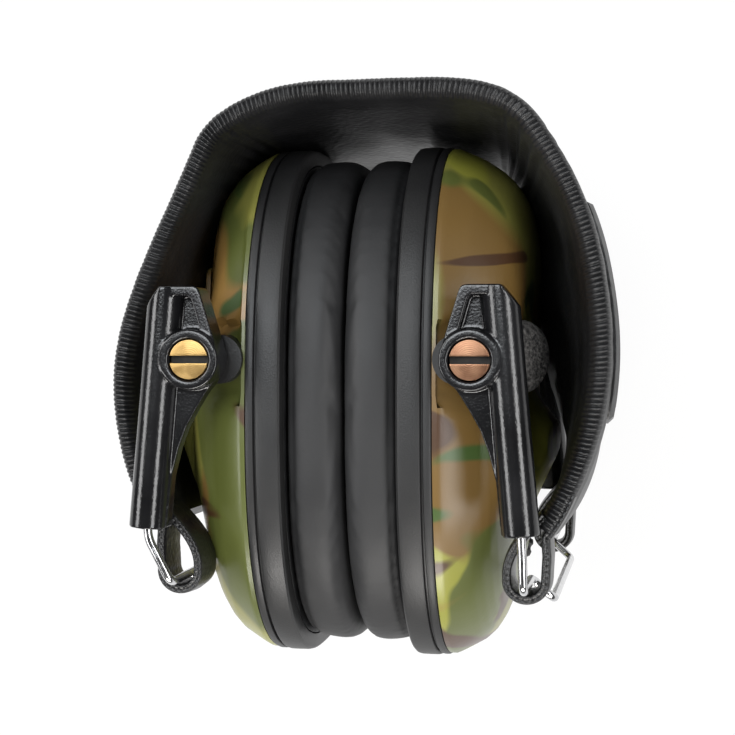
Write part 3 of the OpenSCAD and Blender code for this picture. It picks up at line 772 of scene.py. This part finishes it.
# Ovals that the dome and the ridge are built up from: level, half height, half depth, centre.
dome_levels = np.array(((17, SHELL_TALL, SHELL_DEEP, CUP_Y), (18, SHELL_TALL, SHELL_DEEP, CUP_Y),
                        (25.7, 44.4, 33.9, -4.1), (28.6, 35.0, 30.4, -1.0),
                        (30.05, 27.0, 26.6, -1.8), (30.35, 6, 8, -1.8)))
ridge_levels = np.array(((18.0, 33.5, 36.0, -13.8), (22.2, 25.87, 33.44, -13.8),
                         (30.05, 11.94, 26.6, -13.3), (34.4, 3.48, 19.0, -11.6)))


def cut_corners(levels, times):
    """Rounds the profile that a stack of ovals makes."""
    for _ in range(times):
        ahead = levels[:-1] * 0.75 + levels[1:] * 0.25
        behind = levels[:-1] * 0.25 + levels[1:] * 0.75
        middle = np.stack((ahead, behind), 1).reshape(-1, 4)
        levels = np.vstack((levels[:1], middle, levels[-1:]))
    return levels


dome_levels, ridge_levels = cut_corners(dome_levels, 2), cut_corners(ridge_levels, 1)


def level_over(levels, y, z):
    """Height of the stack of ovals over each place."""
    low, high = np.full_like(y, levels[0, 0]), np.full_like(y, levels[-1, 0])
    for _ in range(26):
        mid = (low + high) / 2
        tall, deep, at = (np.interp(mid, levels[:, 0], levels[:, k]) for k in (1, 2, 3))
        inside = (np.abs((y - at) / tall) ** 2.5 + np.abs(z / deep) ** 2.5) < 1
        low, high = np.where(inside, mid, low), np.where(inside, high, mid)
    return low


def shell_level(y, z):
    """Outer surface of a shell, counted outward from the plane where the cushions meet."""
    dome = level_over(dome_levels, y, z)
    ridge = level_over(ridge_levels, y, z)
    soft = 0.5
    top = soft * np.logaddexp(dome / soft, ridge / soft) - soft * 0.1
    top = np.where(ridge <= 18.01, dome, top)
    channel = (soft_step(y, -2.1, -1.5) * (1 - soft_step(y, 11.0, 11.8))
               * soft_step(np.abs(z), 22.5, 25.5))
    top = top - 2.4 * channel * soft_step(top, 17.6, 19)
    return np.minimum(top, 34.35)


def paint(colour):
    """A colour given as display values from 0 to 255."""
    return tuple(((c / 255 + 0.055) / 1.055) ** 2.4 if c > 10 else c / 3300 for c in colour)


camouflage, nodes, links, surface = new_material("camouflage")
place = nodes.new("ShaderNodeTexCoord")


def patch_mask(shift, size, cut, edge, bend, stretch):
    """A mask of blobs: a warped noise cut at a level."""
    move = nodes.new("ShaderNodeMapping")
    dial(move, Location=shift, Scale=stretch)
    links.new(place.outputs["Object"], move.inputs["Vector"])
    cloud = nodes.new("ShaderNodeTexNoise")
    dial(cloud, Scale=size, Detail=1.5, Roughness=0.45, Distortion=bend)
    links.new(move.outputs["Vector"], cloud.inputs["Vector"])
    sharp = nodes.new("ShaderNodeMapRange")
    dial(sharp, From_Min=cut - edge, From_Max=cut + edge)
    links.new(cloud.outputs["Fac"], sharp.inputs["Value"])
    return sharp.outputs[0]


field = nodes.new("ShaderNodeRGB")
field.outputs[0].default_value = (*paint((118, 116, 54)), 1)
colour = field.outputs[0]
for shift, size, cut, edge, tone, bend, stretch in (
        ((0.3, 0.1, 0.2), 20, 0.545, 0.016, (104, 80, 40), 0.4, (1, 1, 1)),
        ((1.1, 0.7, 0.4), 27, 0.555, 0.010, (128, 128, 50), 0.7, (1, 0.8, 1)),
        ((2.3, 1.9, 0.9), 26, 0.575, 0.010, (78, 84, 38), 0.8, (1, 0.9, 1)),
        ((3.7, 0.2, 2.2), 27, 0.635, 0.012, (128, 98, 50), 0.6, (1, 1.1, 1)),
        ((5.1, 3.3, 1.7), 44, 0.645, 0.012, (66, 44, 26), 1.1, (0.7, 1.4, 0.7)),
        ((6.4, 4.6, 3.9), 38, 0.625, 0.012, (60, 80, 38), 0.9, (0.8, 1.3, 0.8))):
    layer = nodes.new("ShaderNodeMix")
    layer.data_type = "RGBA"
    links.new(patch_mask(shift, size, cut, edge, bend, stretch), layer.inputs["Factor"])
    links.new(colour, layer.inputs["A"])
    layer.inputs["B"].default_value = (*paint(tone), 1)
    colour = layer.outputs["Result"]
links.new(colour, surface.inputs["Base Color"])
sheen_cloud = texture(nodes, links, place, "Noise", 120)
links.new(span(nodes, links, sheen_cloud.outputs["Fac"], 0.34, 0.44), surface.inputs["Roughness"])
orange_peel = texture(nodes, links, place, "Noise", 1100)
bump(nodes, links, surface, orange_peel.outputs["Fac"], 0.00005, 0.35)
dial(surface, Coat_Weight=0.25, Coat_Roughness=0.25)


def cup_place(hand, u, y, z):
    """Places on a cup, with u counted outward from the cushions' meeting plane."""
    return np.column_stack((MIDDLE_X + SIDE[hand] * u, y, MIDDLE + z)) * MM


def oval_points(turn, tall, deep):
    """Points of a rounded oval with the given half height and half depth."""
    cosine, sine = np.cos(turn), np.sin(turn)
    return tall * pushed(sine, 0.8), deep * pushed(cosine, 0.8)


# The right shell is a little fuller than the left one.
FULLER = 1.09
MIC = np.array((29.45, 5.1, 23.56))
MIC_TILT = math.radians(50)
MIC_OUT = np.array((math.sin(MIC_TILT), 0, math.cos(MIC_TILT)))
MIC_SEAT, MIC_SUNK = 6.9, 2.6
BAY = (4.4, 20.8, 13.2)  # low, high and half width of the battery bay
RIM_FROM = 0.94  # where the ball's rings go down the side wall
for hand in SIDE:
    bpy.ops.mesh.primitive_uv_sphere_add(segments=288, ring_count=240, radius=1)
    shell = bpy.context.object
    shell.name = f"camouflage_shell_{hand}"
    ball = points_of(shell)
    # The ball's upper half is laid over the dome, and its lower half lines it inside.
    turn = np.arctan2(ball[:, 1], ball[:, 0])
    fall = np.arccos(np.clip(ball[:, 2], -1, 1)) / math.pi
    outer = fall <= 0.5001
    ring = np.clip(np.where(outer, fall, 1 - fall) * 2, 0, 1)
    reach = 0.9975 * np.where(ring < RIM_FROM, (ring / RIM_FROM) ** 0.82, 1.0)
    inset = np.where(outer, 0.0, SHELL_WALL)
    y, z = oval_points(turn, (SHELL_TALL - inset) * reach, (SHELL_DEEP - inset) * reach)
    y = y + CUP_Y
    top = shell_level(y, z) - inset
    wall = np.clip((ring - RIM_FROM) / (1 - RIM_FROM), 0, 1)
    u = top - (top - RIM_LEVEL) * wall
    u = np.where(outer, u, np.maximum(RIM_LEVEL, u))
    # The microphone's round seat.
    spot = np.column_stack((u, y, z)) - MIC
    off_axis = np.linalg.norm(spot - (spot @ MIC_OUT)[:, None] * MIC_OUT, axis=1)
    bed = MIC[0] + (-MIC_SUNK - MIC_OUT[2] * (z - MIC[2])) / MIC_OUT[0]
    carve = (off_axis < MIC_SEAT) & (z > 10)
    u = np.where(carve & outer, np.minimum(u, bed), u)
    # The left dome is a little slimmer above its lugs, and the right one a little fuller.
    if hand == "left":
        u = u + (eased(y, (5, 12, 24, 30, 36, 40, 45), (0, -3.1, -2.5, -1.2, 0, 1.3, 0.3))
                 * np.where(y < 36, soft_step(z, 14, 20), 1) * soft_step(u, 17.5, 21))
        # The battery bay, open under its sliding door.
        low_edge, high_edge, half = BAY
        bay = ((soft_step(y, low_edge, low_edge + 0.5) - soft_step(y, high_edge - 0.5, high_edge))
               * (soft_step(z, -half, 0.5 - half) - soft_step(z, half - 0.5, half)))
        u = u - np.where(outer, 3.9, 3.0) * bay
    else:
        u = 17 + (u - 17) * FULLER
        u = u + eased(y, (10.5, 18, 28, 40, 46), (0, 1.2, 1.6, 2.0, 0.3)) * soft_step(u, 17.5, 22)
    put_points(shell, cup_place(hand, u, y, z))
    edit(shell, merge_and_face_out)
    smooth(shell, 38)
    shell.data.materials.append(camouflage)
    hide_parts(f"cup_shell_{hand}")
    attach(shell, f"cup_{hand}")

# ---- Base rings ----
# The satin black plate ring of each cup: it carries the loudspeaker's floor inside, and a
# raised lip and a parting groove run round it where the shell is seated.
ring_black = satin_black.copy()
ring_black.name = "ring_black"


def oval_ring(name, hand, profile, around=240):
    """Sweeps a closed profile of (level, inset from the cup's outline) round the cup."""
    profile = np.asarray(profile, float)
    count = len(profile)
    bpy.ops.mesh.primitive_grid_add(x_subdivisions=count, y_subdivisions=around, size=1)
    piece = bpy.context.object
    piece.name = name
    sheet_points = points_of(piece)
    which = np.rint((sheet_points[:, 0] + 0.5) * count).astype(int) % count
    turn = (sheet_points[:, 1] + 0.5) * 2 * math.pi
    u, inset = profile[which].T
    y, z = oval_points(turn, CUP_TALL / 2 - inset, CUP_DEEP / 2 - inset)
    put_points(piece, cup_place(hand, u, y + CUP_Y, z))
    edit(piece, merge_and_face_out)
    return piece


ring_profile = ((10.42, 3.0), (10.42, 1.0), (10.55, 0.5), (10.9, 0.16), (11.5, 0.02), (13.2, 0.0),
                (14.5, 0.02), (14.85, 0.12), (15.0, 0.4), (15.05, 0.75), (15.3, 0.78), (15.35, 0.5),
                (15.5, 0.22), (15.9, 0.15), (16.5, 0.16), (16.8, 0.3), (16.95, 0.6), (16.97, 2.8),
                (16.8, 3.0), (15.02, 3.0), (15.0, 3.1), (15.0, 26.0), (13.0, 26.0), (13.0, 3.1),
                (12.98, 3.0))
for hand in SIDE:
    ring = oval_ring(f"base_ring_moulding_{hand}", hand, ring_profile)
    smooth(ring, 30)
    ring.data.materials.append(ring_black)
    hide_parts(f"base_ring_{hand}")
    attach(ring, f"cup_{hand}")

# ---- Ear cushions ----
# Soft foam rolls in a smooth matte leatherette cover, seamed near the plate that clips each
# one into its base ring, with fine gathers where the cover goes round the tight ends.
cushion_skin = leatherette("cushion_skin", (0.0085, 0.0085, 0.0092), (0.0135, 0.0135, 0.0142), 1500,
                           (0.52, 0.64), 0.00002)
roll = []
for k in range(44):
    t = 2 * math.pi * k / 44
    cosine, sine = math.cos(t), math.sin(t)
    deep, edge = (5.2, 0.66) if cosine < 0 else (4.75, 0.34)
    level = 5.45 + deep * math.copysign(abs(cosine) ** edge, cosine)
    inset = 8.1 + 5.9 * math.copysign(abs(sine) ** (0.62 if cosine < 0 else 0.42), sine)
    roll.append((level, inset + (0.25 * max(level - 5, 0) ** 0.5 if sine < 0 else 0)))
soft_core = oval_ring("soft_core", "right", roll)


def stuffed(piece, grow=5.0, voxel=6.2, most=1.1):
    """Swells a cover as its foam does: cloth under inner pressure, held where it is clipped in.
    The cover is worked on at several times its size, where cloth settles better."""
    start = points_of(piece) / MM
    put_points(piece, start * grow * MM)
    net = piece.modifiers.new("net", "REMESH")
    net.mode = "VOXEL"
    net.voxel_size = voxel * MM
    finish_modifiers(piece)
    rest = points_of(piece)
    held = piece.vertex_groups.new(name="held")
    level = (rest[:, 0] / grow / MM - MIDDLE_X)
    held.add([int(k) for k in np.nonzero(level > 9.3)[0]], 1.0, "REPLACE")
    cover = piece.modifiers.new("cover", "CLOTH")
    cover.settings.quality = 6
    cover.settings.use_pressure = True
    cover.settings.uniform_pressure_force = 4
    cover.settings.vertex_group_mass = "held"
    cover.settings.effector_weights.gravity = 0
    for frame_number in range(1, 21):
        bpy.context.scene.frame_set(frame_number)
    settled = piece.evaluated_get(bpy.context.evaluated_depsgraph_get()).data
    swollen = np.empty(len(settled.vertices) * 3)
    settled.vertices.foreach_get("co", swollen)
    piece.modifiers.remove(cover)
    bpy.context.scene.frame_set(1)
    move = (swollen.reshape(-1, 3) - rest) / grow
    size = np.linalg.norm(move, axis=1)[:, None]
    move *= np.minimum(1, most * MM / np.maximum(size, 1e-9))
    placed = rest / grow + move
    # The two cushions meet at their middle plane and stay flat there.
    placed[:, 0] = np.maximum(placed[:, 0], (MIDDLE_X + 0.22) * MM)
    put_points(piece, placed)
    piece.vertex_groups.clear()
    finer = piece.modifiers.new("finer", "SUBSURF")
    finer.levels = finer.render_levels = 1
    finish_modifiers(piece)


stuffed(soft_core)
spots = points_of(soft_core) / MM
u = spots[:, 0] - MIDDLE_X
y, z = spots[:, 1] - CUP_Y, spots[:, 2] - MIDDLE
outside = np.hypot(y / (CUP_TALL / 2 - 8.3), z / (CUP_DEEP / 2 - 8.3)) > 1
angle = np.arctan2(y, z)
# Seam round the outside, gathers that run into it, and soft unevenness of the foam.
seam = np.exp(-((u - 8.9) / 0.38) ** 2) * outside
gather = np.exp(-((u - 8.1) / 1.7) ** 2) * outside
scale = (1 - 0.0068 * seam + 0.0026 * gather * waves(angle * 26, u * 0.2, 21)
         + 0.003 * waves(angle * 7, u * 0.35, 4))
soft_points = np.column_stack((u, CUP_Y + y * scale, z * scale))
for hand in SIDE:
    cushion = twin(soft_core, f"ear_cushion_{hand}")
    put_points(cushion, cup_place(hand, *soft_points.T))
    edit(cushion, face_out)
    smooth(cushion, 60)
    cushion.data.materials.append(cushion_skin)
    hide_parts(f"cushion_{hand}")
    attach(cushion, f"cup_{hand}")
bpy.data.objects.remove(soft_core)

# ---- Ear foam and microphone windscreens ----
# A thin sheet of open-cell foam lines each ear cup, and a round foam pad covers each
# microphone. Both are cut from grey foam and pressed into their seats.
foam_grey, nodes, links, surface, place, grain = base_finish(
    "foam_grey", (0.008, 0.008, 0.0085), (0.115, 0.11, 0.105), 1500, 0.85, 0.0, 3)
cells = texture(nodes, links, place, "Voronoi", 1700)
bump(nodes, links, surface, cells.outputs["Distance"], 0.00035, 0.8)
FOAM_LEVEL, FOAM_TALL, FOAM_DEEP = 11.45, 33.25, 21.5
SCREEN_RADIUS, SCREEN_STANDS_OUT = 6.7, {"left": 0.9, "right": 1.9}
for hand in SIDE:
    bpy.ops.mesh.primitive_uv_sphere_add(segments=96, ring_count=48, radius=1)
    foam = bpy.context.object
    foam.name = f"ear_foam_sheet_{hand}"
    ball = points_of(foam)
    turn = np.arctan2(ball[:, 1], ball[:, 0])
    flatness = np.clip(np.hypot(ball[:, 0], ball[:, 1]), 0, 1)
    y, z = oval_points(turn, FOAM_TALL * flatness ** 0.8, FOAM_DEEP * flatness ** 0.8)
    level = FOAM_LEVEL + 1.42 * pushed(ball[:, 2], 0.3)
    level += 0.05 * waves(y * 0.3, z * 0.3, 5)
    put_points(foam, cup_place(hand, level, y + CUP_Y, z))
    edit(foam, face_out)
    smooth(foam, 60)
    foam.data.materials.append(foam_grey)
    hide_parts(f"ear_foam_{hand}")
    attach(foam, f"cup_{hand}")
    bpy.ops.mesh.primitive_uv_sphere_add(segments=72, ring_count=48, radius=1)
    screen = bpy.context.object
    screen.name = f"mic_windscreen_pad_{hand}"
    ball = points_of(screen)
    wide = np.clip(np.hypot(ball[:, 0], ball[:, 1]), 0, 1)
    turn = np.arctan2(ball[:, 1], ball[:, 0])
    tall = pushed(ball[:, 2], 0.55)
    wide = SCREEN_RADIUS * wide ** 0.6
    aside, up = wide * np.cos(turn), wide * np.sin(turn)
    grit = 0.10 * waves(aside * 2.6, up * 2.6, 12)
    out = np.where(tall > 0, 3.1 * tall + grit - 0.12, 3.0 * tall) + SCREEN_STANDS_OUT[hand]
    u = MIC[0] + aside * math.cos(MIC_TILT) + out * math.sin(MIC_TILT)
    z = MIC[2] - aside * math.sin(MIC_TILT) + out * math.cos(MIC_TILT)
    put_points(screen, cup_place(hand, u, MIC[1] + up, z))
    edit(screen, face_out)
    smooth(screen, 60)
    screen.data.materials.append(foam_grey)
    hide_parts(f"mic_windscreen_{hand}")
    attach(screen, f"cup_{hand}")

# ---- Volume knob and audio socket ----
# Satin black mouldings at the lower rear of the right cup: a fluted knob pushed onto the
# control's shaft, and a socket for an audio lead.
for node, name, body, width in (("volume_knob", "fluted_knob", "volume_knob", 0.35),
                                ("audio_socket", "socket_moulding", "cup_right", 0.25)):
    piece = rounded_copy(node, name, width)
    piece.data.materials.append(satin_black)
    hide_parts(node)
    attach(piece, body)

# ---- Battery door ----
# A thin moulded lid, curved like the left shell and printed like it. It slides to the rear
# off the bay, and a few ribs near its front end give the thumb a hold.
DOOR_AT, DOOR_TALL_HALF, DOOR_LONG_HALF, DOOR_THICK, DOOR_GAP = 12.6, 9.95, 14.95, 1.25, 0.1
GRIP_RIB = 1.5
door, a, b, h = fine_block("battery_door_lid", 79)
y = DOOR_AT + DOOR_TALL_HALF * b * np.sqrt(1 - 0.10 * a ** 8)
z = DOOR_LONG_HALF * a * np.sqrt(1 - 0.12 * b ** 8)
rim = np.maximum(np.abs(a), np.abs(b))
thick = DOOR_THICK - 0.5 * np.clip((rim - 0.93) / 0.07, 0, 1) ** 2
in_grip = ((soft_step(z, 6.2, 6.5) - soft_step(z, 12.4, 12.7))
           * (soft_step(b, -0.62, -0.58) - soft_step(b, 0.58, 0.62)))
thick = thick + 0.30 * in_grip * (0.5 + 0.5 * np.cos(2 * math.pi * z / GRIP_RIB))
level = shell_level(y, 0.4 * z) + DOOR_GAP + thick * (h + 1) / 2
put_points(door, cup_place("left", level, y, z))
edit(door, face_out)
smooth(door, 40)
door.data.materials.append(camouflage)
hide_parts("battery_door")
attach(door, "battery_door")

# ---- Pieces inside the cups ----
# Cushion plates, loudspeakers, capsules, board, cells with their contacts and case screws are
# plain turned, stamped or moulded pieces, and keep the shape that they have in the model.
for name, nodes_named, dark, pale, metal, rough, grain_size, relief in (
        ("plate_black", ("cushion_plate_left", "cushion_plate_right"),
         (0.008, 0.008, 0.009), (0.014, 0.014, 0.015), 0, (0.4, 0.55), 500, 0.00004),
        ("speaker_frame", ("speaker_left", "speaker_right"),
         (0.030, 0.031, 0.034), (0.055, 0.056, 0.060), 0, (0.35, 0.5), 700, 0.00004),
        ("plated_tin", ("mic_capsule_left", "mic_capsule_right", "battery_contacts",
                        "case_screws_left", "case_screws_right"),
         (0.48, 0.48, 0.50), (0.68, 0.68, 0.70), 1, (0.2, 0.38), 900, 0.00002),
        ("board_lacquer", ("circuit_board",),
         (0.008, 0.060, 0.020), (0.016, 0.110, 0.036), 0, (0.25, 0.4), 350, 0.00006),
        ("cell_wrap", ("batteries",),
         (0.016, 0.030, 0.110), (0.030, 0.050, 0.170), 0, (0.22, 0.34), 260, 0.00003)):
    inner, nodes, links, surface, place, grain = base_finish(
        name, dark, pale, grain_size, rough, metal)
    bump(nodes, links, surface, grain.outputs["Fac"], relief, 0.4)
    for node in nodes_named:
        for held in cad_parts[node].material_slots:
            held.material = inner
